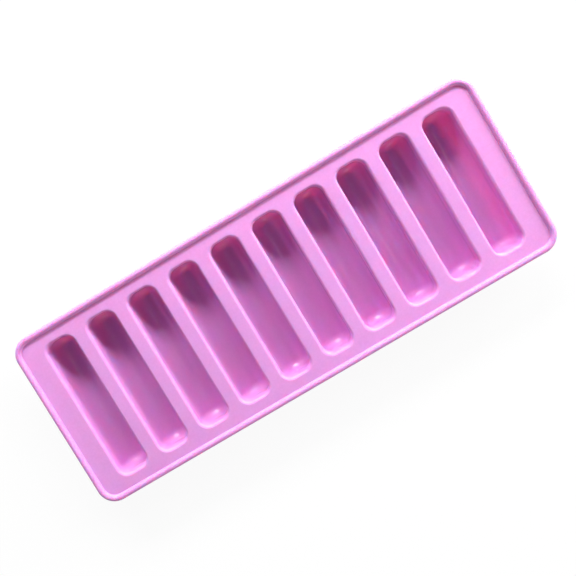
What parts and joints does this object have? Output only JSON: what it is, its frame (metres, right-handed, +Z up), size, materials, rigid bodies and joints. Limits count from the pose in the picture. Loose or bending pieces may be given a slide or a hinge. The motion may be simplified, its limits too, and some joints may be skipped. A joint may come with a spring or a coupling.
{
  "type": "cylinder ice mould",
  "caption": "Flexible silicone tray mould with a row of long round-bottomed cavities in a flat deck inside a raised, rounded rim.",
  "frame": {"origin": "centre of the mould's footprint, on the surface that the cavities' undersides stand on", "axes": "+X along the row of cavities, +Y along each cavity, +Z up out of the mouths"},
  "size_m": [0.2692, 0.0984, 0.0186],
  "materials": {
    "silicone": "satin"
  },
  "bodies": {
    "root": {"mould_tray": "silicone"}
  },
  "joints": []
}
